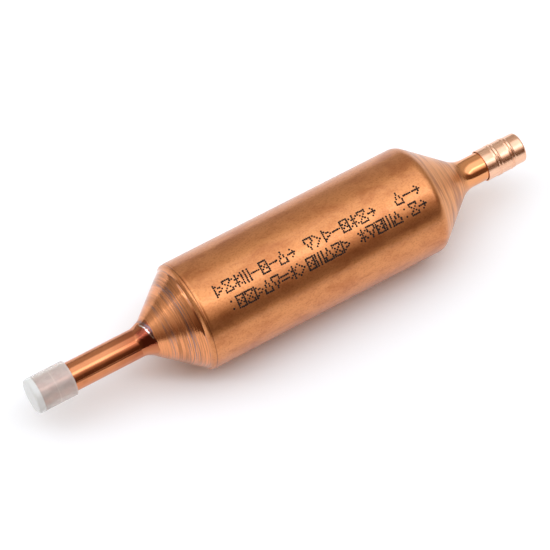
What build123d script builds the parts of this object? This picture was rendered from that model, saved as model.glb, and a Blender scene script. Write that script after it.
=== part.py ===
from build123d import *
import os
from math import cos, hypot, radians, sin, sqrt, tan

# Filter drier for a small refrigeration circuit: a copper tube spun down at both ends around a bed of
# desiccant beads. Millimetres. The axis of the barrel is X, the flow runs towards +X, the origin is the
# middle of the barrel on its axis.

# ---- shell ---------------------------------------------------------------------------------------------
BARREL_R = 12.0
BARREL_LENGTH = 56.0          # between the two sharp shoulder corners
WALL = 0.7                    # wall of the barrel
CONE_WALL = 0.75              # the wall gathers a little as it is spun in
CONE_ANGLE = 39.5             # between the cone's side and the axis
TUBE_R = 3.175                # 1/4 in refrigeration tube: the inlet tube and the outlet neck
NECK_BORE_R = 2.45            # takes a 3/16 in tube or a crimped capillary tube
NECK_END = 50.2
OUTLET_SHOULDER_R = 2.7       # outer rounding where the barrel turns into the outlet cone
OUTLET_NECK_R = 5.9           # hollow curve where the outlet cone turns into the neck
TIP_LAND = 0.335              # blunt end of the inlet cone around the inlet tube

# The spinning roller leaves a shallow rolled ring at the inlet shoulder: (distance back from the
# shoulder corner, depth below the barrel, rounding).
INLET_RING = [(-0.65, 0.00, 1.0), (-0.25, 0.12, 0.6), (0.20, 0.00, 0.7), (0.95, 0.87, 0.8)]
RING_END = 1.3                # where the ring has run out into the plain cone

# ---- inlet tube and braze ------------------------------------------------------------------------------
TUBE_BORE_R = 2.475
TUBE_MOUTH = -63.15
TUBE_INNER_END = -36.5
BRAZE_TUBE_X = -40.4          # where the braze thins out on the tube
BRAZE_CONE_X = -37.35         # where it thins out on the cone
BRAZE_SAG = 0.196             # depth of its hollow face below the straight chord

# ---- inlet dust cap ------------------------------------------------------------------------------------
DUST_CAP_R = 3.825
DUST_CAP_BORE_R = 3.2
DUST_CAP_LENGTH = 8.9
DUST_CAP_FLOOR = 1.4
DUST_CAP_X = -64.6            # closed face
DUST_CAP_END_R = 0.6
DUST_CAP_RIM_R = 0.22

# ---- outlet sealing cap --------------------------------------------------------------------------------
CAP_WALL = 0.21
CAP_RIM_X = 44.2
CAP_END_X = 53.9
CAP_RIM_OUT_R = 3.50          # the open end is slightly belled
CAP_BODY_R = 3.46
CAP_NOSE_R = 3.33             # past the second groove the cap is drawn a little smaller
CAP_END_ROUND = 0.55
GRIP_GROOVE_X = 47.2          # rolled in to grip the neck
STOP_GROOVE_X = 50.6          # rolled in past the neck's end, which stops against it
GRIP_GROOVE_R = 3.40
STOP_GROOVE_R = 3.24
GROOVE_HALF = 0.34
BEAD_HEIGHT = 0.04            # each groove throws up a small bead on both sides

# ---- inside the barrel ---------------------------------------------------------------------------------
CLEARANCE = 0.03              # between round pieces that slip into one another
PLATE_THICKNESS = 0.5
PLATE_RIM_X = -26.0           # where the domed plate meets its own skirt
PLATE_SKIRT = 2.6
PLATE_DOME_R = 30.0           # radius of the dome's hollow side
PLATE_HOLE_R = 1.0
PLATE_PITCH = 4.1
PLATE_RINGS = 2               # rings of holes round the middle hole
GAUZE_THICKNESS = 0.3
SNAP_RING_WIDTH = 0.9
SNAP_RING_THICKNESS = 0.6
CUP_R = 6.0
CUP_FLANGE_X = 24.6
CUP_END_X = 32.4
CUP_BEVEL = 2.0               # the end of the cup is drawn in at 45 degrees
FERRULE_LENGTH = 2.3
FERRULE_WALL = 0.5

# ---- derived sizes -------------------------------------------------------------------------------------
HALF = BARREL_LENGTH / 2
SLOPE = tan(radians(CONE_ANGLE))
INNER_R = BARREL_R - WALL
CONE_DROP = CONE_WALL / cos(radians(CONE_ANGLE))
BORE_FIT_R = INNER_R - CLEARANCE


def cone_r(distance):
    """Outer radius of a cone at an axial distance past its shoulder corner."""
    return BARREL_R - distance * SLOPE


def cone_distance(radius):
    """Axial distance past the shoulder corner at which a cone has the outer radius."""
    return (BARREL_R - radius) / SLOPE


def turned(corners):
    """Solid of revolution about X from a closed outline of corners (x, radius, rounding)."""
    points = [(x, r) for x, r, _ in corners]
    outline = FilletPolyline(*points, radius=[rounding for _, _, rounding in corners], close=True)
    return revolve(make_face(outline.edges()), axis=Axis.X)


def save(shape, node):
    """Write one node's STEP file."""
    shape.label = node
    export_step(shape, f"parts/{node}.step")


def make_shell():
    """Barrel, both cones and the outlet neck, one spun wall."""
    ring = [(-HALF - back, BARREL_R - depth, rounding) for back, depth, rounding in INLET_RING]
    inner_corner = HALF - (CONE_DROP - WALL) / SLOPE
    tip = HALF + cone_distance(TUBE_R + TIP_LAND)
    outer = [
        (-tip, TUBE_R, 0),
        (-tip, TUBE_R + TIP_LAND, 0),
        (-HALF - RING_END, cone_r(RING_END), 1.0),
        *reversed(ring),
        (HALF, BARREL_R, OUTLET_SHOULDER_R),
        (HALF + cone_distance(TUBE_R), TUBE_R, OUTLET_NECK_R),
        (NECK_END, TUBE_R, 0),
    ]
    inner = [
        (NECK_END, NECK_BORE_R, 0),
        (HALF + cone_distance(NECK_BORE_R + CONE_DROP), NECK_BORE_R, OUTLET_NECK_R + CONE_WALL),
        (inner_corner, INNER_R, OUTLET_SHOULDER_R - WALL),
        (-inner_corner, INNER_R, 0.8),
        (-HALF - cone_distance(TUBE_R + CONE_DROP), TUBE_R, 0),
    ]
    return turned(outer + inner)


def make_inlet_tube():
    """Drawn stub tube whose inner end stands just inside the cone's tip."""
    return turned([
        (TUBE_MOUTH, TUBE_BORE_R, 0),
        (TUBE_MOUTH, TUBE_R, 0),
        (TUBE_INNER_END, TUBE_R, 0),
        (TUBE_INNER_END, TUBE_BORE_R, 0),
    ])


def make_inlet_braze():
    """Ring of brazing alloy with a hollow face, run into the corner between the tube and the cone."""
    tube_edge = Vector(BRAZE_TUBE_X, TUBE_R)
    cone_edge = Vector(BRAZE_CONE_X, cone_r(-BRAZE_CONE_X - HALF))
    chord = cone_edge - tube_edge
    low = (tube_edge + cone_edge) / 2 + Vector(chord.Y, -chord.X).normalized() * BRAZE_SAG
    tip = -HALF - cone_distance(TUBE_R + TIP_LAND)
    face = make_face([
        ThreePointArc(tube_edge, low, cone_edge),
        Line(cone_edge, (tip, TUBE_R + TIP_LAND)),
        Line((tip, TUBE_R + TIP_LAND), (tip, TUBE_R)),
        Line((tip, TUBE_R), tube_edge),
    ])
    return revolve(face, axis=Axis.X)


def make_inlet_cap():
    """Moulded dust cap: a thick floor and a plain sleeve."""
    rim = DUST_CAP_X + DUST_CAP_LENGTH
    floor = DUST_CAP_X + DUST_CAP_FLOOR
    return turned([
        (DUST_CAP_X, 0, 0),
        (DUST_CAP_X, DUST_CAP_R, DUST_CAP_END_R),
        (rim, DUST_CAP_R, DUST_CAP_RIM_R),
        (rim, DUST_CAP_BORE_R, 0),
        (floor, DUST_CAP_BORE_R, 0),
        (floor, 0, 0),
    ])


def rolled_groove(x, before, bottom, after):
    """Corners of one rolled groove with its two beads, from its open-end side to its closed-end side."""
    return [
        (x - 2 * GROOVE_HALF, before, 0),
        (x - GROOVE_HALF, before + BEAD_HEIGHT, 0),
        (x, bottom, 0.12),
        (x + GROOVE_HALF, after + BEAD_HEIGHT, 0),
        (x + 2 * GROOVE_HALF, after, 0),
    ]


def make_outlet_cap():
    """Thin drawn cap: a belled rim, two rolled grooves and a closed end, of one even wall."""
    skin = [
        (CAP_RIM_X, CAP_RIM_OUT_R, 0),
        *rolled_groove(GRIP_GROOVE_X, CAP_BODY_R, GRIP_GROOVE_R, CAP_BODY_R),
        *rolled_groove(STOP_GROOVE_X, CAP_BODY_R, STOP_GROOVE_R, CAP_NOSE_R),
        (CAP_END_X, CAP_NOSE_R, CAP_END_ROUND),
        (CAP_END_X, 0, 0),
    ]
    lining = [(x, r - CAP_WALL, 0) for x, r, _ in skin[:-2]]
    end = [
        (CAP_END_X - CAP_WALL, CAP_NOSE_R - CAP_WALL, 0),
        (CAP_END_X - CAP_WALL, 0, 0),
    ]
    return turned(skin + end[::-1] + lining[::-1])


def dome_layer(inner_radius, thickness, rim_radius):
    """Part of a ball's shell, bulging towards -X, whose hollow side meets PLATE_RIM_X at the bore."""
    centre_x = PLATE_RIM_X + sqrt(PLATE_DOME_R**2 - INNER_R**2)
    near = centre_x - sqrt(inner_radius**2 - rim_radius**2)
    far_r = inner_radius + thickness
    far = centre_x - sqrt(far_r**2 - rim_radius**2)
    half_turn = rim_radius / hypot(rim_radius, centre_x - near) / 2
    bend = sqrt(1 - half_turn**2)
    face = make_face([
        ThreePointArc(
            (centre_x - inner_radius, 0),
            (centre_x - inner_radius * bend, inner_radius * half_turn),
            (near, rim_radius),
        ),
        Line((near, rim_radius), (far, rim_radius)),
        ThreePointArc(
            (far, rim_radius),
            (centre_x - far_r * bend, far_r * half_turn),
            (centre_x - far_r, 0),
        ),
        Line((centre_x - far_r, 0), (centre_x - inner_radius, 0)),
    ])
    return revolve(face, axis=Axis.X)


def sleeve(start, end, outer, inner):
    """Plain ring about X."""
    return turned([(start, inner, 0), (start, outer, 0), (end, outer, 0), (end, inner, 0)])


def make_inlet_plate():
    """Domed plate with a skirt, pierced by rings of holes on a triangular grid."""
    plate = dome_layer(PLATE_DOME_R, PLATE_THICKNESS, BORE_FIT_R)
    plate += sleeve(PLATE_RIM_X - 0.3, PLATE_RIM_X + PLATE_SKIRT, BORE_FIT_R, BORE_FIT_R - PLATE_THICKNESS)
    holes = []
    for row in range(-PLATE_RINGS, PLATE_RINGS + 1):
        for column in range(-PLATE_RINGS, PLATE_RINGS + 1):
            if abs(row + column) > PLATE_RINGS:
                continue
            y = PLATE_PITCH * (column + row / 2)
            z = PLATE_PITCH * row * sin(radians(60))
            start = Plane(origin=(PLATE_RIM_X - 5, y, z), z_dir=(1, 0, 0))
            holes.append(start * Cylinder(PLATE_HOLE_R, 10, align=(Align.CENTER, Align.CENTER, Align.MIN)))
    return plate - holes


def make_inlet_gauze():
    """Flat disc of gauze behind the rim of the domed plate, which keeps the beads off its holes."""
    back, front = snap_ring_x() - GAUZE_THICKNESS, snap_ring_x()
    return turned([(back, 0, 0), (back, gauze_rim_r(), 0), (front, gauze_rim_r(), 0), (front, 0, 0)])


def gauze_rim_r():
    """Radius of the gauze disc, which slips inside the plate's skirt."""
    return BORE_FIT_R - PLATE_THICKNESS - 0.25


def snap_ring_x():
    """Where the snap ring starts: the gauze lies against it."""
    return PLATE_RIM_X + 0.2


def snap_ring_end():
    """Where the snap ring ends, on the side of the beads."""
    return snap_ring_x() + SNAP_RING_THICKNESS


def snap_ring_inner_r():
    """Radius of the snap ring's opening."""
    return BORE_FIT_R - PLATE_THICKNESS - CLEARANCE - SNAP_RING_WIDTH


def make_inlet_ring():
    """Flat ring that holds the gauze in the plate."""
    return sleeve(snap_ring_x(), snap_ring_end(), snap_ring_inner_r() + SNAP_RING_WIDTH, snap_ring_inner_r())


def cup_outline(offset, lip_x):
    """Corners of the cup's side and bevelled end, drawn in by an offset, from the lip to the axis."""
    bevel = CUP_BEVEL + offset * (sqrt(2) - 1)
    return [
        (lip_x, CUP_R - offset, 0),
        (CUP_END_X - bevel, CUP_R - offset, 0),
        (CUP_END_X - offset, CUP_R - bevel, 0),
        (CUP_END_X - offset, 0, 0),
    ]


def make_outlet_gauze():
    """Fine gauze cup with a flat flange."""
    outer = cup_outline(0, CUP_FLANGE_X + GAUZE_THICKNESS)
    inner = cup_outline(GAUZE_THICKNESS, CUP_FLANGE_X)
    flange = [(CUP_FLANGE_X, BORE_FIT_R, 0), (CUP_FLANGE_X + GAUZE_THICKNESS, BORE_FIT_R, 0)]
    return turned(flange + outer + inner[::-1])


def make_outlet_ring():
    """Pressed ferrule of angle section behind the gauze flange."""
    start = CUP_FLANGE_X + GAUZE_THICKNESS
    return turned([
        (start, CUP_R + CLEARANCE, 0),
        (start, BORE_FIT_R, 0),
        (start + FERRULE_LENGTH, BORE_FIT_R, 0),
        (start + FERRULE_LENGTH, BORE_FIT_R - FERRULE_WALL, 0),
        (start + FERRULE_WALL, BORE_FIT_R - FERRULE_WALL, 0),
        (start + FERRULE_WALL, CUP_R + CLEARANCE, 0),
    ])


def make_desiccant_bed():
    """The space that the packed beads fill, from the gauze disc to the bottom of the gauze cup."""
    skirt_end = PLATE_RIM_X + PLATE_SKIRT + CLEARANCE
    skirt_r = BORE_FIT_R - PLATE_THICKNESS - CLEARANCE
    ring_r = snap_ring_inner_r() - CLEARANCE
    cup = cup_outline(GAUZE_THICKNESS + CLEARANCE, CUP_FLANGE_X)
    return turned([
        (snap_ring_x(), 0, 0),
        (snap_ring_x(), ring_r, 0),
        (snap_ring_end(), ring_r, 0),
        (snap_ring_end(), skirt_r, 0),
        (skirt_end, skirt_r, 0),
        (skirt_end, BORE_FIT_R, 0),
        (CUP_FLANGE_X, BORE_FIT_R, 0),
        *cup,
    ])


NODES = {
    "shell": make_shell,
    "inlet_tube": make_inlet_tube,
    "inlet_braze": make_inlet_braze,
    "inlet_cap": make_inlet_cap,
    "outlet_cap": make_outlet_cap,
    "inlet_plate": make_inlet_plate,
    "inlet_gauze": make_inlet_gauze,
    "inlet_ring": make_inlet_ring,
    "outlet_gauze": make_outlet_gauze,
    "outlet_ring": make_outlet_ring,
    "desiccant_bed": make_desiccant_bed,
}

os.makedirs("parts", exist_ok=True)
for node, make in NODES.items():
    save(make(), node)
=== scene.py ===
"""Dresses the filter drier: skins, ink marks, finishes, light and camera.

Sizes are given in millimetres and turned to metres where a mesh is made. X is the axis of the
barrel, with the flow towards +X, and Z is up.
"""

import logging
import math
from dataclasses import dataclass
from enum import Enum
from typing import Any

import bpy
import numpy as np
from mathutils import Matrix, Vector

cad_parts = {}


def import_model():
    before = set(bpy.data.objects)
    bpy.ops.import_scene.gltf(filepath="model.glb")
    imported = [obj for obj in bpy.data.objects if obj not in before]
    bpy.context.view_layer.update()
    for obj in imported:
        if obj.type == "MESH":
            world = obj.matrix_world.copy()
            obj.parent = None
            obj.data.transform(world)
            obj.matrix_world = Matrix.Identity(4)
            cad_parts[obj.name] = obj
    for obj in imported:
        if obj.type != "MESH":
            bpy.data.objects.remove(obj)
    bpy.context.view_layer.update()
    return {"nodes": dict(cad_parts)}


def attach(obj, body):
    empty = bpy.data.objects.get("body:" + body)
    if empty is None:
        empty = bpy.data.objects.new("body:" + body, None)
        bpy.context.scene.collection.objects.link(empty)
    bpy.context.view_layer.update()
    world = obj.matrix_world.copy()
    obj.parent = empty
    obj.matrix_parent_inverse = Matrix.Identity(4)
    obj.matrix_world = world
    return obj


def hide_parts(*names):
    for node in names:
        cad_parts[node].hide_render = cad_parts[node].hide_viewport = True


LOG = logging.getLogger("drier")
MM = 0.001
ON_AXIS = 1e-6  # an outline point this close to the axis lies on it, in millimetres

Socket = bpy.types.NodeSocket
Material = bpy.types.Material
Corner = tuple[float, float, float]  # x, radius and rounding of an outline's corner, in millimetres
Pair = tuple[float, float]
Colour = tuple[float, float, float, float]
Edges = tuple[float, float, float, float]  # where a soft band starts, is full, starts to end, has ended
Links = dict[int | str, Any]


class Slot(Enum):
    """Material slots of the record that a skin takes over from its node."""

    SPUN_COPPER = "spun_copper"
    TUBE_COPPER = "tube_copper"
    BRAZE_ALLOY = "braze_alloy"
    MILKY_POLYETHYLENE = "milky_polyethylene"
    CAP_COPPER = "cap_copper"


class Body(Enum):
    """Moving bodies of the frame."""

    DRIER = "drier"
    INLET_CAP = "inlet_cap"
    OUTLET_CAP = "outlet_cap"


# ---- colour and node helpers ----


def linear(code: str) -> Colour:
    """Turn an sRGB hex colour into linear light.

    Args:
        code: Colour such as "#d08040".

    Returns:
        Red, green, blue and alpha in linear light.
    """
    parts = [int(code[i : i + 2], 16) / 255 for i in (1, 3, 5)]
    r, g, b = [c / 12.92 if c <= 0.04045 else ((c + 0.055) / 1.055) ** 2.4 for c in parts]
    return r, g, b, 1.0


def put(
    tree: bpy.types.NodeTree,
    kind: str,
    links: Links | None = None,
    settings: dict[str, Any] | None = None,
) -> bpy.types.Node:
    """Add one node with its settings and links.

    Args:
        tree: Node tree of the material or world.
        kind: Blender's name for the node type.
        links: Input name or number against a value, or against a socket to link.
        settings: Attributes of the node.

    Returns:
        The new node.
    """
    made = tree.nodes.new(kind)
    for name, value in (settings or {}).items():
        setattr(made, name, value)
    for name, value in (links or {}).items():
        if isinstance(value, Socket):
            tree.links.new(value, made.inputs[name])
        else:
            made.inputs[name].default_value = value
    return made


class Sums:
    """The node tree of a material or of the sky, with the sums that both are written in."""

    def __init__(self, owner: Material | bpy.types.World) -> None:
        """Empty the owner's node tree."""
        owner.use_nodes = True
        self.tree = owner.node_tree
        self.tree.nodes.clear()

    def math(self, operation: str, a: Any, b: Any = 0.0, clamp: bool = False) -> Socket:
        """Return a math operation on two values or sockets."""
        settings = {"operation": operation, "use_clamp": clamp}
        return put(self.tree, "ShaderNodeMath", {0: a, 1: b}, settings).outputs[0]

    def times(self, a: Any, b: Any) -> Socket:
        """Return the product of two values or sockets."""
        return self.math("MULTIPLY", a, b)

    def plus(self, a: Any, b: Any, clamp: bool = False) -> Socket:
        """Return the sum of two values or sockets."""
        return self.math("ADD", a, b, clamp)

    def minus(self, a: Any, b: Any, clamp: bool = False) -> Socket:
        """Return the difference of two values or sockets."""
        return self.math("SUBTRACT", a, b, clamp)

    def most(self, a: Any, b: Any) -> Socket:
        """Return the larger of two values or sockets."""
        return self.math("MAXIMUM", a, b)

    def ramp(
        self, value: Any, low: float, high: float, to_low: float = 0.0, to_high: float = 1.0
    ) -> Socket:
        """Carry a value smoothly from one range into another.

        Args:
            value: Socket to read.
            low: Value that gives to_low.
            high: Value that gives to_high.
            to_low: Result at low and below.
            to_high: Result at high and above.

        Returns:
            Socket of the result.
        """
        links = {0: value, 1: low, 2: high, 3: to_low, 4: to_high}
        return put(self.tree, "ShaderNodeMapRange", links, {"interpolation_type": "SMOOTHSTEP"}).outputs[0]

    def mix(self, factor: Any, a: Any, b: Any) -> Socket:
        """Return colour a changed towards colour b by a factor; a colour may be a hex code."""
        a, b = (linear(c) if isinstance(c, str) else c for c in (a, b))
        made = put(self.tree, "ShaderNodeMix", {0: factor, 6: a, 7: b}, {"data_type": "RGBA"})
        return made.outputs[2]

    def blend(self, factor: Any, a: Any, b: Any) -> Socket:
        """Return number a changed towards number b by a factor."""
        made = put(self.tree, "ShaderNodeMix", {0: factor, 2: a, 3: b}, {"data_type": "FLOAT"})
        return made.outputs[0]

    def band(self, value: Any, middle: float, half: float, soft: float) -> Socket:
        """Return a soft-edged band: 1 within half of the middle, 0 past half + soft."""
        away = self.math("ABSOLUTE", self.minus(value, middle))
        return self.ramp(away, half, half + soft, 1.0, 0.0)

    def within(self, value: Any, edges: Edges) -> Socket:
        """Return a soft-edged band of a value, from its four edges."""
        start, full, ending, ended = edges
        return self.times(self.ramp(value, start, full), self.ramp(value, ended, ending))


class Recipe(Sums):
    """A material being written, with the pattern tools that the finishes share."""

    def __init__(self, name: str) -> None:
        """Open an empty material with the object's own millimetre coordinates."""
        self.material = bpy.data.materials.new(name)
        super().__init__(self.material)
        place = put(self.tree, "ShaderNodeTexCoord").outputs["Object"]
        links: Links = {0: place, "Scale": 1 / MM}
        self.mm = put(self.tree, "ShaderNodeVectorMath", links, {"operation": "SCALE"}).outputs[0]
        self.x, self.y, self.z = put(self.tree, "ShaderNodeSeparateXYZ", {0: self.mm}).outputs

    def turned(self) -> Socket:
        """Return the angle about the axis, from 0 at the top to a quarter turn at -Y."""
        return self.math("ARCTAN2", self.times(self.y, -1.0), self.z)

    def noise(
        self,
        factors: tuple[float, float, float],
        detail: float,
        roughness: float = 0.55,
        distortion: float = 0.0,
    ) -> Socket:
        """Return noise with features about 1/factor millimetres across along each axis."""
        scaled = put(self.tree, "ShaderNodeVectorMath", {0: self.mm, 1: factors}, {"operation": "MULTIPLY"})
        links: Links = {"Vector": scaled.outputs[0], "Scale": 1.0, "Detail": detail}
        links |= {"Roughness": roughness, "Distortion": distortion}
        return put(self.tree, "ShaderNodeTexNoise", links).outputs[0]

    def bump(self, height: Any, depth_mm: float, under: Any = None) -> Socket:
        """Return a normal bumped by a height of the given depth, over another bump if there is one."""
        links: Links = {"Strength": 1.0, "Distance": depth_mm * MM, "Height": height}
        if under is not None:
            links["Normal"] = under
        return put(self.tree, "ShaderNodeBump", links).outputs[0]

    def metal(
        self, colour: Any, rough: Any, normal: Any, coat: float = 0.0, coat_rough: float = 0.1
    ) -> Material:
        """Finish as metal, under a thin film of oil and haze where a coat is given.

        Args:
            colour: Colour of the metal.
            rough: Its roughness.
            normal: Its bumped normal.
            coat: Weight of the film, or 0 for bare metal.
            coat_rough: Roughness of the film.

        Returns:
            The finished material.
        """
        shader: Links = {"Base Color": colour, "Metallic": 1.0, "Roughness": rough, "Normal": normal}
        if coat:
            shader |= {"Coat Weight": coat, "Coat Roughness": coat_rough}
        return self.close(shader)

    def close(self, shader: Links) -> Material:
        """Finish with a principled surface.

        Args:
            shader: Inputs of the principled shader.

        Returns:
            The finished material.
        """
        surface = put(self.tree, "ShaderNodeBsdfPrincipled", shader)
        put(self.tree, "ShaderNodeOutputMaterial", {"Surface": surface.outputs[0]})
        return self.material


# ---- mesh helpers ----

ARC_STEP = 7.0  # longest step along an arc, in degrees
SHORTEST = 0.05  # a straight shorter than this gets no points of its own, in millimetres
NEAR_END = 0.04  # how close to a straight's ends its first and last points lie, in millimetres


def rounded(corners: list[Corner], closed: bool, step_mm: float = 0.9) -> np.ndarray:
    """Outline with a tangent arc at each rounded corner and extra points along the straights.

    A corner of turn a and rounding q gives an arc whose ends lie q*tan(a/2) from the corner and whose
    points are centre + q*(cos, sin) of an evenly stepped angle. Each straight gets two points close to
    its ends, so that shading stays flat along it, and then even steps.

    Args:
        corners: Corners (x, radius, rounding) in millimetres.
        closed: Whether the last corner joins the first.
        step_mm: Longest step along a straight.

    Returns:
        Points (x, radius) in millimetres.
    """
    points = np.array([c[:2] for c in corners], float)
    count = len(points)
    pieces: list[np.ndarray] = []
    for i, (_, _, q) in enumerate(corners):
        here = points[i]
        open_end = not closed and i in (0, count - 1)
        if open_end or q <= 0:
            pieces.append(here[None])
            continue
        back = points[i - 1] - here
        ahead = points[(i + 1) % count] - here
        back, ahead = back / np.hypot(*back), ahead / np.hypot(*ahead)
        half = np.arccos(np.clip(back @ ahead, -1, 1)) / 2
        reach = q / np.tan(half)
        middle = here + (back + ahead) / np.hypot(*(back + ahead)) * q / np.sin(half)
        start, end = here + back * reach - middle, here + ahead * reach - middle
        a0 = np.arctan2(start[1], start[0])
        turn = (np.arctan2(end[1], end[0]) - a0 + np.pi) % (2 * np.pi) - np.pi
        steps = max(3, int(np.ceil(abs(turn) / np.radians(ARC_STEP))))
        angles = a0 + turn * np.linspace(0, 1, steps + 1)
        pieces.append(middle + q * np.stack([np.cos(angles), np.sin(angles)], 1))
    out: list[np.ndarray] = []
    for i, piece in enumerate(pieces):
        out.append(piece)
        if not closed and i == count - 1:
            break
        a, b = piece[-1], pieces[(i + 1) % count][0]
        length = float(np.hypot(*(b - a)))
        if length < SHORTEST:
            continue
        near = min(NEAR_END, length / 4)
        inner = max(1, int(np.ceil((length - 2 * near) / step_mm)))
        t = np.linspace(near, length - near, inner + 1) / length
        out.append(a + (b - a) * t[:, None])
    return np.concatenate(out)


def mesh_object(name: str, vertices: np.ndarray, faces: list[np.ndarray]) -> bpy.types.Object:
    """Make a smoothly shaded mesh object from whole arrays.

    Args:
        name: Name of the piece.
        vertices: Points (n, 3) in millimetres.
        faces: Arrays of corner numbers, one array for each number of corners.

    Returns:
        The new object, linked to the scene.
    """
    mesh = bpy.data.meshes.new(name)
    flat = np.concatenate([f.ravel() for f in faces]).astype(np.int32)
    sizes = np.concatenate([np.full(len(f), f.shape[1], np.int32) for f in faces])
    starts = np.concatenate([[0], np.cumsum(sizes)[:-1]]).astype(np.int32)
    mesh.vertices.add(len(vertices))
    mesh.vertices.foreach_set("co", (vertices * MM).astype(np.float32).ravel())
    mesh.loops.add(len(flat))
    mesh.loops.foreach_set("vertex_index", flat)
    mesh.polygons.add(len(sizes))
    mesh.polygons.foreach_set("loop_start", starts)
    mesh.polygons.foreach_set("use_smooth", np.full(len(sizes), True))
    mesh.update(calc_edges=True)
    mesh.validate()
    made = bpy.data.objects.new(name, mesh)
    bpy.context.scene.collection.objects.link(made)
    return made


def lathe(name: str, outline: np.ndarray, around: int) -> bpy.types.Object:
    """Turn an outline about the X axis.

    The point at outline place i and angle a is (x_i, r_i*cos a, r_i*sin a). An outline that starts and
    ends on the axis gets a pole at each end, and any other is a closed loop.

    Args:
        name: Name of the piece.
        outline: Points (x, radius) in millimetres.
        around: Number of steps about the axis.

    Returns:
        The turned object with faces outward.
    """
    poles = outline[0, 1] < ON_AXIS and outline[-1, 1] < ON_AXIS
    ring = outline[1:-1] if poles else outline
    x, angle = np.meshgrid(ring[:, 0], np.linspace(0, 2 * np.pi, around, endpoint=False), indexing="ij")
    radius = np.broadcast_to(ring[:, 1:2], x.shape)
    grid = np.stack([x, radius * np.cos(angle), radius * np.sin(angle)], -1).reshape(-1, 3)
    rows = len(ring)
    number = np.arange(rows * around).reshape(rows, around)
    beside = np.roll(number, -1, 1)
    if poles:
        faces = [np.stack([number[:-1], number[1:], beside[1:], beside[:-1]], -1).reshape(-1, 4)]
        first, last = len(grid), len(grid) + 1
        grid = np.concatenate([grid, [[outline[0, 0], 0, 0], [outline[-1, 0], 0, 0]]])
        faces.append(np.stack([np.full(around, first), number[0], beside[0]], -1))
        faces.append(np.stack([np.full(around, last), beside[-1], number[-1]], -1))
    else:
        after, beside_after = np.roll(number, -1, 0), np.roll(beside, -1, 0)
        faces = [np.stack([number, after, beside_after, beside], -1).reshape(-1, 4)]
    following = np.roll(outline, -1, 0)
    area = np.sum(outline[:, 0] * following[:, 1] - following[:, 0] * outline[:, 1])
    if area < 0:
        faces = [f[:, ::-1] for f in faces]
    return mesh_object(name, grid, faces)


# ---- finishes ----


@dataclass(frozen=True)
class Zones:
    """Parts of the shell in its material: each socket is 1 in its own part and 0 outside."""

    left: Socket  # inlet cone
    right: Socket  # outlet cone and neck
    neck: Socket
    cones: Socket
    barrel: Socket
    worked: Socket  # where the roller pressed hardest


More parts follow.
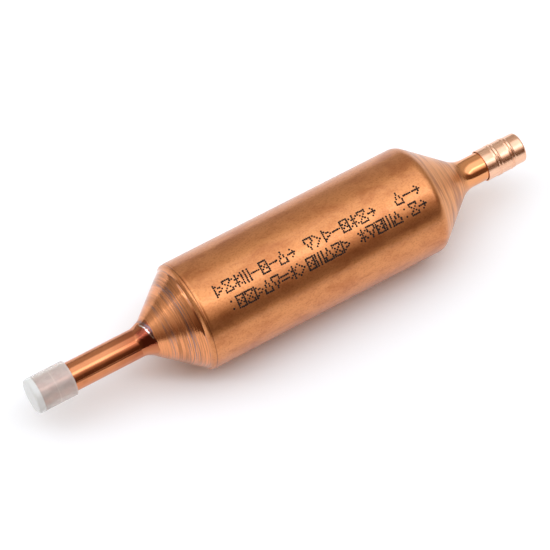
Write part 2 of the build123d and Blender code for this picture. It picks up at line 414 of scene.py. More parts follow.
@dataclass(frozen=True)
class SpunCopper:
    """Bright drawn copper tube, spun down hot at the ends: hazy barrel, ringed cones, burnished neck."""

    barrel: str = "#d88f58"
    tarnish: str = "#b76d3e"
    grain: str = "#a45a2f"
    inlet_cone: str = "#e49561"
    outlet_cone: str = "#df9557"
    broad_ring: str = "#ad6a3d"
    fine_ring: str = "#935930"
    neck: str = "#e99d66"
    scale: str = "#6f6a76"  # thin blue-grey oxide film left by heat
    crease_shade: str = "#7c4423"  # painted shade: a dark line along the crease on the inlet shoulder ridge
    soot: str = "#5b3524"
    streak_mm: float = 0.35  # spacing of the drawing lines round the barrel
    groove_mm: float = 0.25  # pitch of the spinning roller's marks
    inlet_edge: Pair = (-28.5, -29.3)  # from barrel to cone
    outlet_edge: Pair = (27.6, 29.6)
    neck_edge: Pair = (37.2, 39.8)
    worked_x: float = -31.7
    smooth_x: float = -29.5  # narrow glossy land beside the inlet shoulder
    # where the painted shade along the crease lies
    crease_shade_x: float = -27.93
    film_x: tuple[float, ...] = (-31.4, -31.3, -34.6, -29.05)  # broad, fine, outer and shoulder film

    def make(self) -> Material:
        """Write the material: colour, gloss and marks change from zone to zone."""
        m = Recipe("spun_copper_drawn_and_rolled")
        zones = self.zones(m)
        streaks = m.noise((0.05, 1 / self.streak_mm, 1 / self.streak_mm), 3.0, 0.6)
        rings = m.noise((1 / self.groove_mm, 0.1, 0.1), 3.0, 0.65)
        coarse = m.noise((0.9, 0.07, 0.07), 2.0)
        colour = self.tint(m, zones, rings, coarse)
        rough = self.gloss(m, zones, streaks, rings)
        return m.metal(colour, rough, self.relief(m, zones, streaks, rings, coarse), 0.35)

    def zones(self, m: Recipe) -> Zones:
        """Divide the shell along its axis."""
        left = m.ramp(m.x, *self.inlet_edge)
        right = m.ramp(m.x, *self.outlet_edge)
        neck = m.ramp(m.x, *self.neck_edge)
        cones = m.most(left, m.minus(right, neck, True))
        barrel = m.minus(1.0, m.most(left, right), True)
        worked = m.most(right, m.band(m.x, self.worked_x, 1.5, 2.2))
        return Zones(left, right, neck, cones, barrel, worked)

    def gloss(self, m: Recipe, zones: Zones, streaks: Socket, rings: Socket) -> Socket:
        """Write the roughness: the barrel is hazy from handling, the cones satin, the neck burnished."""
        cloud = m.noise((0.2, 0.35, 0.35), 3.0, 0.6)
        rough = m.plus(0.22, m.times(streaks, 0.1))
        rough = m.plus(rough, m.times(cloud, 0.14))
        rough = m.blend(zones.left, rough, m.plus(0.13, m.times(rings, 0.2)))
        rough = m.blend(zones.right, rough, m.plus(0.24, m.times(rings, 0.16)))
        rough = m.blend(m.band(m.x, self.smooth_x, 0.55, 0.4), rough, 0.1)
        return m.blend(zones.neck, rough, 0.14)

    def relief(
        self, m: Recipe, zones: Zones, streaks: Socket, rings: Socket, coarse: Socket
    ) -> Socket:
        """Write the normal: drawing lines and scratches along the barrel, roller rings on the cones."""
        wave = m.noise((0.12, 0.3, 0.3), 2.0)
        scratches = m.ramp(m.noise((0.5, 6.0, 6.0), 1.0, 0.5, 0.4), 0.62, 0.72)
        scuffs = m.ramp(m.noise((4.5, 0.7, 1.1), 1.0, 0.5, 0.6), 0.66, 0.74)
        lines = m.plus(m.times(streaks, 0.8), m.times(m.plus(scratches, scuffs), 0.5))
        dust = m.noise((3.6, 4.2, 4.2), 2.0)
        normal = m.bump(wave, 0.03)
        normal = m.bump(m.times(lines, zones.barrel), 0.004, normal)
        normal = m.bump(dust, 0.005, normal)
        depth = m.times(zones.cones, m.ramp(zones.worked, 0.0, 1.0, 0.3, 1.0))
        normal = m.bump(m.times(rings, depth), 0.022, normal)
        normal = m.bump(m.times(coarse, depth), 0.05, normal)
        burnish = m.noise((0.9, 5.0, 5.0), 2.0)
        return m.bump(m.times(burnish, zones.neck), 0.0015, normal)

    def tint(self, m: Recipe, zones: Zones, rings: Socket, coarse: Socket) -> Socket:
        """Write the colour: mottled barrel, dark and blue-grey lines where the roller ran hot, and painted
        shade along the inlet shoulder's crease.

        Args:
            m: Material being written.
            zones: Parts of the shell.
            rings: Fine roller marks.
            coarse: Broad roller marks.

        Returns:
            Socket of the colour.
        """
        mottle = m.noise((0.14, 0.25, 0.25), 4.0, 0.6, 0.6)
        grain = m.noise((2.2, 2.8, 2.8), 3.0, 0.6)
        colour = m.mix(m.ramp(mottle, 0.4, 0.75, 0.1, 0.9), self.barrel, self.tarnish)
        grainy = m.times(m.ramp(grain, 0.44, 0.7), m.blend(zones.barrel, 0.0, 0.4))
        colour = m.mix(grainy, colour, self.grain)
        colour = m.mix(zones.left, colour, self.inlet_cone)
        colour = m.mix(zones.right, colour, self.outlet_cone)
        share = m.blend(zones.right, m.ramp(zones.worked, 0.0, 1.0, 0.25, 0.55), 0.8)
        broad = m.times(m.times(m.ramp(coarse, 0.44, 0.58), share), zones.cones)
        colour = m.mix(broad, colour, self.broad_ring)
        share = m.blend(zones.right, m.ramp(zones.worked, 0.0, 1.0, 0.25, 0.6), 0.3)
        fine = m.times(m.ramp(rings, 0.46, 0.62), m.times(zones.cones, share))
        colour = m.mix(fine, colour, self.fine_ring)
        colour = m.mix(zones.neck, colour, self.neck)
        colour = m.mix(self.film(m), colour, self.scale)
        # painted shade: a dark line along the crease on the inlet shoulder ridge
        colour = m.mix(m.times(m.band(m.x, self.crease_shade_x, 0.03, 0.14), 0.6), colour, self.crease_shade)
        specks = m.noise((1.9, 2.4, 2.4), 2.0, 0.5)
        pits = m.times(m.ramp(specks, 0.72, 0.78), m.blend(zones.barrel, 0.2, 0.25))
        return m.mix(pits, colour, self.soot)

    def film(self, m: Recipe) -> Socket:
        """Write where the oxide film lies: a few broken lines round the inlet cone."""
        broad, fine, outer, shoulder = self.film_x
        drift = m.noise((0.4, 0.16, 0.16), 2.0)
        place = m.plus(m.x, m.times(m.minus(drift, 0.5), 0.8))
        thin = m.ramp(m.noise((4.2, 0.12, 0.12), 1.0), 0.5, 0.62)
        fade = m.ramp(m.noise((0.2, 0.3, 0.3), 1.0), 0.35, 0.6, 0.25, 1.0)
        film = m.times(m.times(m.band(place, broad, 0.7, 0.6), thin), 0.65)
        film = m.most(film, m.times(m.band(place, fine, 0.02, 0.12), 0.6))
        film = m.most(film, m.times(m.times(m.band(place, outer, 0.4, 0.4), thin), 0.6))
        film = m.most(film, m.times(m.band(m.x, shoulder, 0.02, 0.12), 0.4))
        return m.times(film, fade)


@dataclass(frozen=True)
class TubeCopper:
    """Redder half-hard copper tube, drawn through a die that leaves lines along it."""

    base: str = "#ce8256"
    dull: str = "#b0653c"
    # heat tint near the braze, deepened as painted shade on the side towards -Y
    scorch_and_shade: str = "#a35534"
    roughness: float = 0.1
    line_mm: float = 0.3

    def make(self) -> Material:
        """Write the material: die lines run along the axis and hardly change over its length."""
        m = Recipe("tube_copper_die_drawn")
        lines = m.noise((0.02, 1 / self.line_mm, 1 / self.line_mm), 2.0, 0.5)
        patches = m.noise((0.22, 0.35, 0.35), 3.0, 0.6)
        # heat tint near the braze, partly painted shade: it is stronger on the side towards -Y
        side = m.band(m.turned(), 0.45, 0.7, 0.7)
        heat_and_shade = m.times(m.ramp(m.x, -48.0, -40.3), m.plus(0.2, m.times(side, 0.6)))
        colour = m.mix(m.times(m.ramp(patches, 0.45, 0.75), 0.6), self.base, self.dull)
        colour = m.mix(heat_and_shade, colour, self.scorch_and_shade)
        rough = m.plus(self.roughness, m.times(lines, 0.1))
        normal = m.bump(m.noise((0.03, 1.3, 1.3), 1.0), 0.07)
        return m.metal(colour, rough, m.bump(lines, 0.014, normal), 0.2, 0.08)


@dataclass(frozen=True)
class BrazeAlloy:
    """Copper-phosphorus brazing alloy, melted into the joint: glossy, with a darker red painted shade towards
    -Y and a near-white painted highlight at its edge.
    """

    base: str = "#cf8459"
    warm: str = "#ab6039"
    red: str = "#8e3f28"
    # painted highlight along the braze's edge on the cone
    bright: str = "#f1ece8"
    flux: str = "#6d7078"

    def make(self) -> Material:
        """Write the material: a darker red patch of painted shade lies towards -Y, and a near-white line of
        painted highlight ends it on the cone.
        """
        m = Recipe("braze_alloy_run_in")
        turn = m.turned()
        side = m.band(turn, 0.42, 0.42, 0.4)
        wobble = m.noise((0.8, 0.9, 0.9), 2.0, 0.5, 0.4)
        # painted shade: a darker red patch on the side towards -Y stands in for the dark reflection there
        shaded_pool = m.times(side, m.ramp(m.plus(m.x, wobble), -40.2, -39.0))
        # warm heat tint, partly painted shade: it grows on the side towards -Y
        heat_and_shade = m.ramp(m.band(turn, 0.45, 0.6, 0.6), 0.0, 1.0, 0.15, 0.7)
        colour = m.mix(heat_and_shade, self.base, self.warm)
        colour = m.mix(shaded_pool, colour, self.red)
        edge_x = m.plus(m.times(turn, 0.72), -37.95)
        off = m.minus(m.plus(m.x, m.times(m.minus(wobble, 0.5), 1.2)), edge_x)
        broken = m.ramp(m.noise((1.6, 1.6, 1.6), 1.0), 0.36, 0.46)
        # painted highlight: a near-white line on the top side only, where the braze meets the cone
        line = m.times(m.band(off, 0.0, 0.05, 0.14), m.band(turn, 0.12, 0.5, 0.2))
        colour = m.mix(m.times(line, broken), colour, self.bright)
        grey = m.times(m.band(off, 0.5, 0.08, 0.25), m.band(turn, 0.1, 0.9, 0.3))
        colour = m.mix(m.times(grey, 0.6), colour, self.flux)
        normal = m.bump(m.noise((0.7, 1.1, 1.1), 2.0), 0.05)
        ripple = m.times(m.noise((1.6, 2.6, 2.6), 1.0), shaded_pool)
        return m.metal(colour, 0.13, m.bump(ripple, 0.045, normal), 0.3, 0.08)


@dataclass(frozen=True)
class MilkyPolyethylene:
    """Soft injection-moulded polyethylene: milky, with light passing through the thin sleeve."""

    base: str = "#fff5ee"
    thick: str = "#ebeae6"
    solid_from: float = -63.2  # the thick floor lets less through
    ring_x: float = -59.6  # faint line left by the mould

    def make(self) -> Material:
        """Write the material: half-clear sleeve, whiter floor, faint line round the sleeve."""
        m = Recipe("polyethylene_moulded_milky")
        floor = m.ramp(m.x, self.solid_from + 0.15, self.solid_from - 0.15)
        rim = m.ramp(m.x, -56.3, -55.8)
        ring = m.band(m.x, self.ring_x, 0.05, 0.15)
        cloud = m.noise((0.5, 0.7, 0.7), 2.0)
        through = m.blend(floor, m.plus(0.54, m.times(cloud, 0.2)), 0.08)
        through = m.minus(through, m.times(rim, 0.1))
        through = m.minus(through, m.times(ring, 0.05), True)
        normal = m.bump(m.noise((1.6, 1.6, 1.6), 2.0), 0.01)
        return m.close({
            "Base Color": m.mix(floor, self.base, self.thick),
            "Metallic": 0.0, "Roughness": 0.2, "IOR": 1.5,
            "Transmission Weight": through, "Normal": normal,
        })


@dataclass(frozen=True)
class CapCopper:
    """Thin deep-drawn copper cap, annealed: pale pink, softly bright."""

    base: str = "#f6c3a2"
    dull: str = "#dfa583"

    def make(self) -> Material:
        """Write the material: fine drawing lines along the cap and a slow change of tone."""
        m = Recipe("cap_copper_deep_drawn")
        tone = m.noise((0.35, 0.5, 0.5), 3.0)
        lines = m.noise((0.15, 4.0, 4.0), 2.0)
        colour = m.mix(m.times(m.ramp(tone, 0.4, 0.75), 0.6), self.base, self.dull)
        rough = m.plus(0.2, m.times(lines, 0.12))
        wave = m.bump(m.noise((0.3, 0.5, 0.5), 1.0), 0.004)
        return m.metal(colour, rough, m.bump(lines, 0.0007, wave), 0.35)


@dataclass(frozen=True)
class JetInk:
    """Solvent ink sprayed in dots: near black and matt, browner where it is thin."""

    base: str = "#1d1815"
    thin: str = "#3a2a20"

    def make(self) -> Material:
        """Write the material: the ink's thickness changes slowly from dot to dot."""
        m = Recipe("ink_sprayed_dots")
        tone = m.noise((2.0, 2.0, 2.0), 2.0)
        colour = m.mix(m.ramp(tone, 0.4, 0.75), self.base, self.thin)
        return m.close({"Base Color": colour, "Roughness": 0.6, "Specular IOR Level": 0.15})


@dataclass(frozen=True)
class PressedBrass:
    """Half-hard brass sheet, blanked and pressed: yellow, satin, lightly scuffed by the die."""

    base: str = "#d9b46a"
    dull: str = "#b48d4a"

    def make(self) -> Material:
        """Write the material: rolling lines of the sheet and die scuffs."""
        m = Recipe("brass_sheet_pressed")
        tone = m.noise((0.3, 0.3, 0.3), 3.0)
        rolled = m.noise((2.0, 0.2, 4.0), 2.0)
        colour = m.mix(m.ramp(tone, 0.4, 0.7), self.base, self.dull)
        rough = m.plus(0.22, m.times(rolled, 0.14))
        return m.metal(colour, rough, m.bump(rolled, 0.003))


@dataclass(frozen=True)
class SteelGauze:
    """Woven stainless wire cloth, drawn at 0.5 mm spacing so that the weave shows."""

    wire: str = "#b9bbba"
    # painted shade in the openings between the wires
    gap: str = "#3c3c3a"
    pitch_mm: float = 0.5

    def make(self) -> Material:
        """Write the material: wires are the crests of two crossed waves, and the openings between them are
        painted shade.
        """
        m = Recipe("steel_wire_cloth")
        turn = 2 * math.pi / self.pitch_mm
        across = m.math("ABSOLUTE", m.math("SINE", m.times(m.y, turn / 2)))
        along = m.math("ABSOLUTE", m.math("SINE", m.times(m.z, turn / 2)))
        wires = m.most(across, along)
        colour = m.mix(m.ramp(wires, 0.55, 0.8), self.gap, self.wire)
        return m.metal(colour, 0.35, m.bump(wires, 0.08))


@dataclass(frozen=True)
class MolecularSieve:
    """Clay-bound molecular sieve beads of about 2 mm: matt, tan, dusty."""

    base: str = "#c9a985"
    dust: str = "#e2d2bb"
    shade: str = "#6b5239"  # in the gaps between the beads
    bead_mm: float = 2.0

    def make(self) -> Material:
        """Write the material: each cell of the pattern stands for one bead."""
        m = Recipe("molecular_sieve_beads")
        cells = put(m.tree, "ShaderNodeTexVoronoi", {"Vector": m.mm, "Scale": 1 / self.bead_mm})
        dome = m.ramp(cells.outputs["Distance"], 0.0, 0.65, 1.0, 0.0)
        tone = m.noise((0.6, 0.6, 0.6), 2.0)
        colour = m.mix(tone, self.base, self.dust)
        colour = m.mix(m.ramp(dome, 0.0, 0.35, 0.7, 0.0), colour, self.shade)
        return m.close({"Base Color": colour, "Roughness": 0.85, "Normal": m.bump(dome, 0.6)})


@dataclass(frozen=True)
class Finishes:
    """Every finish of the drier, made once."""

    spun_copper: Material
    tube_copper: Material
    braze_alloy: Material
    polyethylene: Material
    cap_copper: Material
    ink: Material
    brass: Material
    gauze: Material
    sieve: Material

    @staticmethod
    def mix() -> "Finishes":
        """Make every material."""
        kinds = (
            SpunCopper, TubeCopper, BrazeAlloy, MilkyPolyethylene, CapCopper, JetInk, PressedBrass,
            SteelGauze, MolecularSieve,
        )
        return Finishes(*(kind().make() for kind in kinds))


def seat(
    piece: bpy.types.Object,
    body: Body,
    finish: Material,
    stands_for: str = "",
) -> None:
    """Give a piece its finish, its body and the node that it stands for.

    Args:
        piece: Finished object.
        body: Body that it rides on.
        finish: Its material.
        stands_for: Name of the node that it replaces, or an empty text.
    """
    piece.data.materials.clear()
    piece.data.materials.append(finish)
    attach(piece, body.value)
    if stands_for:
        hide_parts(stands_for)
    LOG.info("%s: %d faces", piece.name, len(piece.data.polygons))


# ---- sub-assemblies ----


@dataclass
class Shell:
    """Barrel, cones and neck of one wall. A corner of the ring is (way back, depth, rounding)."""

    barrel_r: float = 12.0
    half: float = 28.0
    wall: float = 0.7
    cone_wall: float = 0.75
    cone_angle: float = 39.5
    tube_r: float = 3.175
    neck_bore_r: float = 2.45
    neck_end: float = 50.2
    outlet_shoulder_r: float = 2.7
    outlet_neck_r: float = 5.9
    tip_land: float = 0.335
    tip_round: float = 0.1
    ring_round: float = 1.0
    mouth_round: float = 0.15
    inner_round: float = 0.8
    ring: tuple[Corner, ...] = (
        (-0.65, 0.00, 1.0), (-0.25, 0.12, 0.6), (0.20, 0.00, 0.7), (0.95, 0.87, 0.8),
    )
    ring_end: float = 1.3
    around: int = 256

    @property
    def slope(self) -> float:
        """Fall of the cone's radius for each millimetre along the axis."""
        return math.tan(math.radians(self.cone_angle))

    def cone_r(self, distance: Any) -> Any:
        """Outer radius of a cone at an axial distance past its shoulder corner, as a number or an array."""
        return self.barrel_r - distance * self.slope

    def cone_distance(self, radius: float) -> float:
        """Axial distance past the shoulder corner at which a cone has the outer radius."""
        return (self.barrel_r - radius) / self.slope

    def outline(self) -> np.ndarray:
        """Closed outline of the wall: along the outside to the neck, then back along the inside."""
        drop = self.cone_wall / math.cos(math.radians(self.cone_angle))
        inner_corner = self.half - (drop - self.wall) / self.slope
        tip = self.half + self.cone_distance(self.tube_r + self.tip_land)
        neck_inside = self.half + self.cone_distance(self.neck_bore_r + drop)
        ring = [(-self.half - back, self.barrel_r - depth, q) for back, depth, q in self.ring]
        corners = [
            (-tip, self.tube_r, 0), (-tip, self.tube_r + self.tip_land, self.tip_round),
            (-self.half - self.ring_end, self.cone_r(self.ring_end), self.ring_round),
            *reversed(ring),
            (self.half, self.barrel_r, self.outlet_shoulder_r),
            (self.half + self.cone_distance(self.tube_r), self.tube_r, self.outlet_neck_r),
            (self.neck_end, self.tube_r, self.mouth_round),
            (self.neck_end, self.neck_bore_r, self.mouth_round),
            (neck_inside, self.neck_bore_r, self.outlet_neck_r + self.cone_wall),
            (inner_corner, self.barrel_r - self.wall, self.outlet_shoulder_r - self.wall),
            (-inner_corner, self.barrel_r - self.wall, self.inner_round),
            (-self.half - self.cone_distance(self.tube_r + drop), self.tube_r, 0),
        ]
        return rounded(corners, True)

    def build(self, finishes: Finishes) -> None:
        """Make the skin of the shell."""
        made = lathe("shell_skin", self.outline(), self.around)
        seat(made, Body.DRIER, finishes.spun_copper, "shell")


class Mark(Enum):
    """Plain marks of the dot printer, line by line from the top; x is a dot."""

    ARROW = "..... ..x.. ...x. xxxxx ...x. ..x.. ....."
    TIP = "x.... .x... ..x.. ...x. ..x.. .x... x...."
    DASH = "..... ..... ..... xxxxx ..... ..... ....."
    PAIR = "..... ..... xxxxx ..... xxxxx ..... ....."
    GLASS = "xxxxx x...x .x.x. ..x.. .x.x. x...x xxxxx"
    FUNNEL = "xxxxx x...x x...x .x.x. .x.x. ..x.. ..x.."
    PEAK = "..x.. ..x.. .x.x. .x.x. x...x x...x xxxxx"
    CRATE = "xxxxx x...x xx.xx x.x.x xx.xx x...x xxxxx"
    WEDGE = "x.... xx... x.xx. x...x x.xx. xx... x...."
    STAR = "..x.. x.x.x .xxx. ..x.. .xxx. x.x.x ..x.."
    BARS = "x.x.x x.x.x x.x.x x.x.x x.x.x x.x.x x.x.x"
    DOTS = "..... ..x.. ..... ..... ..... ..x.. ....."
    GAP = "..... ..... ..... ..... ..... ..... ....."


@dataclass
class InkMarks:
    """Two rows of dots sprayed along the barrel, with arrows that show the way of the flow."""

    barrel_r: float
    dot_mm: float = 0.265  # half width of a dot
    lift_mm: float = 0.012  # top of a dot over the copper
    sink_mm: float = 0.01  # its rim under the copper
    spread_mm: float = 0.025  # how far a dot strays
    sizes: Pair = (0.86, 1.08)  # smallest and largest dot, as shares of dot_mm
    place_seed: int = 7
    size_seed: int = 11
    sides: int = 8
    pitch_x: float = 0.4
    pitch_arc: float = 0.41
    cells_mm: tuple[float, ...] = (2.147, 2.09)
    firsts_x: tuple[float, ...] = (-23.55, -22.35)
    tops: tuple[Pair, ...] = ((12.8, 13.0), (32.0, 28.9))  # degrees down, at a row's ends

    def rows(self) -> list[list[Mark]]:
        """Marks of each row, from the inlet end; a letter stands for each mark in the order of Mark."""
        a, t, d, p, h, f, k, x, w, s, b, o, g = Mark
        return [
            [w, h, s, b, d, x, d, k, a, g, f, t, w, d, x, s, h, a, g, g, k, d, a],
            [o, x, h, w, k, f, p, s, t, x, b, k, h, w, g, s, f, x, b, k, o, h, a],
        ]

    def centres(self) -> np.ndarray:
        """Places of all dots as (distance along the axis, angle from the top), one row for each dot."""
        found = []
        rng = np.random.default_rng(self.place_seed)
        for number, (marks, (top, top_far)) in enumerate(zip(self.rows(), self.tops)):
            grid = np.array([[[c == "x" for c in line] for line in m.value.split()] for m in marks])
            cell, line, column = np.nonzero(grid)
            x = self.firsts_x[number] + cell * self.cells_mm[number] + column * self.pitch_x
            edge = np.radians(top + (top_far - top) * cell / len(marks))
            angle = edge + (line * self.pitch_arc + self.dot_mm) / self.barrel_r
            found.append(np.stack([x, angle], 1))
        places = np.concatenate(found)
        return places + rng.normal(0, 1, places.shape) * [self.spread_mm, self.spread_mm / self.barrel_r]

    def build(self, finishes: Finishes) -> None:
        """Make all dots as one mesh.

        A dot is a fan of wedges and a sunk rim. With s_k the size of ring k, r_k its radius about the
        axis and R the barrel's, its point at turn b has x + s_k*cos b and angle a + s_k*sin b/R, and
        lies at (x, -r_k*sin angle, r_k*cos angle).
        """
        places = self.centres()
        rng = np.random.default_rng(self.size_seed)
        turn = np.linspace(0, 2 * np.pi, self.sides, endpoint=False)
        size = self.dot_mm * rng.uniform(*self.sizes, len(places))
        rings = np.array([[0.8], [1.0]])  # edge of the flat top, then the rim
        heights = self.barrel_r + np.array([self.lift_mm, self.lift_mm, -self.sink_mm])
        across = rings * np.cos(turn)
        down = rings * np.sin(turn)
        x = places[:, 0, None, None] + size[:, None, None] * across
        angle = places[:, 1, None, None] + size[:, None, None] * down / self.barrel_r
        r = np.broadcast_to(heights[1:, None], x.shape)
        ring_points = np.stack([x, -r * np.sin(angle), r * np.cos(angle)], -1).reshape(len(places), -1, 3)
        middle = np.stack([
            places[:, 0], -heights[0] * np.sin(places[:, 1]), heights[0] * np.cos(places[:, 1])
        ], -1)[:, None]
        points = np.concatenate([middle, ring_points], 1)
        start = np.arange(len(places))[:, None, None] * points.shape[1]
        near = np.arange(1, self.sides + 1)
        beside = np.roll(near, -1)
        fan = np.stack([near, np.zeros(self.sides, int), beside], -1)[None] + start
        rim = np.stack([near, beside, beside + self.sides, near + self.sides], -1)[None] + start
        made = mesh_object("ink_marks", points.reshape(-1, 3), [fan.reshape(-1, 3), rim.reshape(-1, 4)])
        seat(made, Body.DRIER, finishes.ink)


@dataclass
class InletStub:
    """Inlet tube and the braze that holds it in the cone."""

    shell: Shell
    bore_r: float = 2.475
    mouth: float = -63.15
    inner_end: float = -36.5
    edge_r: float = 0.15
    braze_tube_x: float = -40.4
    braze_cone_x: float = -37.35
    braze_curve: float = 1.64  # the melt climbs slowly at first and then steeply
    sink_mm: float = 0.01  # edge of the braze under the metal
    back_mm: float = 0.12  # back of the braze under the metal
    around: int = 192
    braze_around: int = 160
    braze_rows: int = 22

    def build(self, finishes: Finishes) -> None:
        """Make the tube and the braze."""
        r = self.shell.tube_r
        outline = rounded([
            (self.mouth, self.bore_r, self.edge_r), (self.mouth, r, self.edge_r),
            (self.inner_end, r, 0), (self.inner_end, self.bore_r, 0),
        ], True)
        tube = lathe("inlet_stub", outline, self.around)
        seat(tube, Body.DRIER, finishes.tube_copper, "inlet_tube")
        seat(self.braze(), Body.DRIER, finishes.braze_alloy, "inlet_braze")

    def braze(self) -> bpy.types.Object:
        """Make the braze: a hollow fillet whose two edges wander and whose face is lumpy.

        With v from 0 on the tube to 1 on the cone, the face rises between the two edges with a power of
        v, so that it leaves the tube smoothly, and each edge moves along its own metal by a sum of slow
        sines of the angle. A closed back runs just under the metal.
        """
        s = self.shell
        angle = np.linspace(0, 2 * np.pi, self.braze_around, endpoint=False)[None]
        v = np.linspace(0, 1, self.braze_rows)[:, None]
        wander_tube = 0.34 * np.sin(2 * angle + 0.6) + 0.2 * np.sin(5 * angle + 1.9) + 0.1 * np.sin(9 * angle)
        wander_cone = 0.38 * np.sin(angle - 0.5) + 0.14 * np.sin(4 * angle + 2.4) + 0.07 * np.sin(11 * angle)
        x0 = self.braze_tube_x + wander_tube
        x1 = self.braze_cone_x + wander_cone
        r0 = np.full_like(x0, s.tube_r - self.sink_mm)
        r1 = s.cone_r(-x1 - s.half) - self.sink_mm
        lump = np.sin(np.pi * v) ** 2 * (0.05 * np.sin(3 * angle + 0.4) + 0.03 * np.sin(7 * angle + 5 * v))
        x = x0 + (x1 - x0) * v
        r = r0 + (r1 - r0) * v**self.braze_curve + lump
        tip = -s.half - s.cone_distance(s.tube_r + s.tip_land)
        inside = np.full_like(x1, s.tube_r - self.back_mm)
        back_x = np.concatenate([x1 + 0.1, np.full_like(x1, tip), x0 + 0.15])
        back_r = np.concatenate([r1 - self.back_mm, inside, inside])
        x, r = np.concatenate([x, back_x]), np.concatenate([r, back_r])
        angle = np.broadcast_to(angle, x.shape)
        grid = np.stack([x, r * np.cos(angle), r * np.sin(angle)], -1).reshape(-1, 3)
        number = np.arange(x.size).reshape(x.shape)
        after, beside = np.roll(number, -1, 0), np.roll(number, -1, 1)
        faces = np.stack([number, beside, np.roll(after, -1, 1), after], -1).reshape(-1, 4)
        return mesh_object("braze_run", grid, [faces])


@dataclass
class DustCap:
    """Moulded cap on the inlet tube."""

    radius: float = 3.825
    bore_r: float = 3.2  # slips over the tube with a little air between
    length: float = 8.9
    floor: float = 1.4
    closed_x: float = -64.6
    end_r: float = 0.6
    rim_r: float = 0.22
    around: int = 160

    def build(self, finishes: Finishes) -> None:
        """Make the cap from its closed face round to the floor of its bore."""
        rim, floor = self.closed_x + self.length, self.closed_x + self.floor
        outline = rounded([
            (self.closed_x, 0, 0), (self.closed_x, self.radius, self.end_r), (rim, self.radius, self.rim_r),
            (rim, self.bore_r, self.rim_r), (floor, self.bore_r, 0.1), (floor, 0, 0),
        ], False, 0.5)
        made = lathe("dust_cap_body", outline, self.around)
        seat(made, Body.INLET_CAP, finishes.polyethylene, "inlet_cap")


@dataclass
class SealingCap:
    """Thin drawn cap on the outlet neck, with two rolled grooves."""

    wall: float = 0.21
    rim_x: float = 44.2
    end_x: float = 53.9
    rim_out_r: float = 3.50
    body_r: float = 3.46
    nose_r: float = 3.33
    end_round: float = 0.55
    grip_x: float = 47.2
    stop_x: float = 50.6
    grip_r: float = 3.40
    stop_r: float = 3.24
    groove_half: float = 0.34
    bead: float = 0.11  # crest of the bead, a little above the plain cap
    around: int = 192

    def groove(self, x: float, before: float, bottom: float, after: float) -> list[Corner]:
        """Corners of one rolled groove with a bead on both sides."""
        g = self.groove_half
        return [
            (x - 2 * g, before, 0.3), (x - g, before + self.bead, 0.12), (x, bottom, 0.12),
            (x + g, after + self.bead, 0.12), (x + 2 * g, after, 0.3),
        ]

    def build(self, finishes: Finishes) -> None:
        """Make the cap: its outside from the rim to the end, then its lining back to the rim."""
        skin = [
            (self.rim_x, self.rim_out_r, 0.05),
            *self.groove(self.grip_x, self.body_r, self.grip_r, self.body_r),
            *self.groove(self.stop_x, self.body_r, self.stop_r, self.nose_r),
            (self.end_x, self.nose_r, self.end_round), (self.end_x, 0, 0),
        ]
        lining = [(x, r - self.wall, q) for x, r, q in skin[:-2]]
        end = [
            (self.end_x - self.wall, self.nose_r - self.wall, self.end_round - self.wall),
            (self.end_x - self.wall, 0, 0),
        ]
        outline = rounded([(self.end_x, 0, 0), *skin[-2::-1], *lining, *end], False, 0.5)
        made = lathe("sealing_cap_body", outline, self.around)
        seat(made, Body.OUTLET_CAP, finishes.cap_copper, "outlet_cap")


@dataclass
class Insides:
    """The nodes of the frame: those inside the barrel are shown as they are."""

    nodes: dict[str, bpy.types.Object]

    def dress(self, finishes: Finishes) -> None:
        """Give each node its finish, those that a skin stands for too."""
        chosen = {
            "shell": finishes.spun_copper, "inlet_tube": finishes.tube_copper,
            "inlet_braze": finishes.braze_alloy, "inlet_cap": finishes.polyethylene,
            "outlet_cap": finishes.cap_copper, "inlet_plate": finishes.brass, "inlet_ring": finishes.brass,
            "outlet_ring": finishes.brass, "inlet_gauze": finishes.gauze, "outlet_gauze": finishes.gauze,
            "desiccant_bed": finishes.sieve,
        }
        for name, finish in chosen.items():
            materials = self.nodes[name].data.materials
            materials.clear()
            materials.append(finish)
            LOG.info("%s: dressed", name)


# ---- studio ----


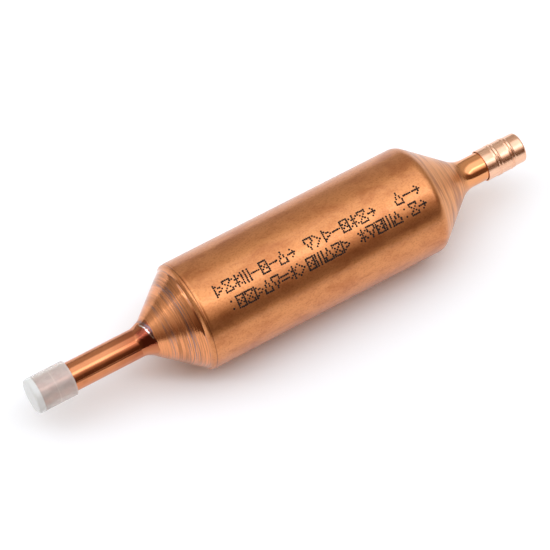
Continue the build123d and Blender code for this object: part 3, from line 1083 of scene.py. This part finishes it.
@dataclass
class Studio:
    """Pale floor, a large soft panel overhead, a pale room behind and a dark side in front."""

    floor_z: float = -12.0
    floor_gap: float = 0.002  # keeps the floor clear of the barrel
    floor_half: float = 3000.0
    floor_points: int = 9  # along each side
    floor_colour: str = "#f0f0f0"
    floor_bleach: float = 0.2  # added to its paleness where it is seen, in metal and through plastic too
    heading: float = -31.55  # the panel is square to the viewer
    panel: float = 1.66
    panel_colour: str = "#f0f7ff"  # daylight panel
    room_colour: str = "#fffaf2"
    panel_across: Edges = (-2.3, -1.5, 1.1, 1.9)
    panel_toward: Edges = (-0.86, -0.46, 0.2, 1.0)
    strip: float = 1.7  # added along a tube in the panel's middle
    strip_toward: Edges = (0.02, 0.09, 0.2, 0.29)
    room: float = 0.62
    skirting: float = 0.34  # level of the room near the floor
    front: float = 0.15
    front_colour: str = "#ffcda9"  # the dark side is a warm brown
    wall_top: float = 0.4  # height at which the room reaches its level
    front_facing: Pair = (0.0, 0.6)  # from the room's side into the dark side

    def build(self) -> None:
        """Make the floor and the light."""
        self.floor()
        self.light()

    def floor(self) -> None:
        """Make the floor: a large square grid just under the barrel."""
        side = np.linspace(-self.floor_half, self.floor_half, self.floor_points)
        x, y = np.meshgrid(side, side, indexing="ij")
        points = np.stack([x, y, np.full_like(x, self.floor_z - self.floor_gap)], -1).reshape(-1, 3)
        number = np.arange(x.size).reshape(x.shape)
        corners = [number[:-1, :-1], number[1:, :-1], number[1:, 1:], number[:-1, 1:]]
        made = mesh_object("studio_floor", points, [np.stack(corners, -1).reshape(-1, 4)])
        m = Recipe("floor_matt_white_paint")
        rays = put(m.tree, "ShaderNodeLightPath").outputs
        seen = m.plus(rays["Is Camera Ray"], rays["Is Glossy Ray"])
        seen = m.plus(seen, rays["Is Transmission Ray"], True)
        level = self.floor_bleach
        paint = put(m.tree, "ShaderNodeBsdfDiffuse", {"Color": linear(self.floor_colour)}).outputs[0]
        bleach = put(m.tree, "ShaderNodeBsdfDiffuse", {"Color": (level, level, level, 1.0)}).outputs[0]
        shown = put(m.tree, "ShaderNodeMixShader", {0: seen, 2: bleach}).outputs[0]
        surface = put(m.tree, "ShaderNodeAddShader", {0: paint, 1: shown}).outputs[0]
        put(m.tree, "ShaderNodeOutputMaterial", {"Surface": surface})
        made.data.materials.append(m.material)

    def light(self) -> None:
        """Light the scene by a sky painted as a room.

        A direction (x, y, z) meets a ceiling plane at u = across/z and v = toward/z, with across and
        toward measured square to the viewer and toward them. The panel is a soft-edged rectangle in u and
        v, its strip a narrow band in v, and below them the room is pale except towards -Y.
        """
        world = bpy.data.worlds.new("studio_sky")
        bpy.context.scene.world = world
        m = Sums(world)
        way = put(m.tree, "ShaderNodeTexCoord").outputs["Generated"]
        x, y, z = put(m.tree, "ShaderNodeSeparateXYZ", {0: way}).outputs
        a = math.radians(self.heading)
        height = m.most(z, 0.02)  # keeps the division finite at the horizon
        across = m.plus(m.times(x, math.cos(a)), m.times(y, math.sin(a)))
        toward = m.minus(m.times(x, math.sin(a)), m.times(y, math.cos(a)))
        u, v = m.math("DIVIDE", across, height), m.math("DIVIDE", toward, height)
        wide = m.within(u, self.panel_across)
        panel = m.times(wide, m.within(v, self.panel_toward))
        strip = m.times(wide, m.within(v, self.strip_toward))
        flat = m.math("SQRT", m.plus(m.times(x, x), m.times(y, y)))
        dark = m.ramp(m.math("DIVIDE", m.times(y, -1.0), m.most(flat, 0.001)), *self.front_facing)
        links: Links = {0: z, 1: 0.0, 2: self.wall_top, 3: self.skirting, 4: self.room}
        wall = put(m.tree, "ShaderNodeMapRange", links).outputs[0]
        room = m.minus(wall, m.times(dark, m.minus(wall, self.front)))
        level = m.plus(m.blend(panel, room, self.panel), m.times(strip, self.strip))
        around = m.mix(dark, self.room_colour, self.front_colour)
        tone = m.mix(panel, around, self.panel_colour)
        glow = put(m.tree, "ShaderNodeBackground", {"Color": tone, "Strength": level}).outputs[0]
        put(m.tree, "ShaderNodeOutputWorld", {"Surface": glow})


@dataclass
class Viewpoint:
    """Camera that looks down on the drier from the inlet side."""

    azimuth: float = -31.55
    elevation: float = 56.89
    distance: float = 622.66
    across: float = -5.894
    upward: float = -3.667
    lens: float = 196.36
    sensor: float = 36.0
    clip: Pair = (0.01, 20.0)  # metres

    def build(self) -> None:
        """Make the camera from its angles about the origin and the aim point's offset."""
        a, e = math.radians(self.azimuth), math.radians(self.elevation)
        back = Vector((math.sin(a) * math.cos(e), -math.cos(a) * math.cos(e), math.sin(e)))
        right = Vector((math.cos(a), math.sin(a), 0))
        up = back.cross(right)
        place = (right * self.across + up * self.upward + back * self.distance) * MM
        data = bpy.data.cameras.new("camera")
        data.lens, data.sensor_width = self.lens, self.sensor
        data.clip_start, data.clip_end = self.clip
        made = bpy.data.objects.new("camera", data)
        turn = Matrix((right, up, back)).transposed().to_4x4()
        made.matrix_world = Matrix.Translation(place) @ turn
        bpy.context.scene.collection.objects.link(made)
        bpy.context.scene.camera = made


def main() -> None:
    logging.basicConfig(level=logging.INFO, format="%(name)s %(message)s")
    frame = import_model()
    finishes = Finishes.mix()
    shell = Shell()
    shell.build(finishes)
    InkMarks(shell.barrel_r).build(finishes)
    InletStub(shell).build(finishes)
    DustCap().build(finishes)
    SealingCap().build(finishes)
    Insides(frame["nodes"]).dress(finishes)
    Studio().build()
    Viewpoint().build()
    bpy.context.scene.view_settings.view_transform = "Standard"


if __name__ == "__main__":
    main()
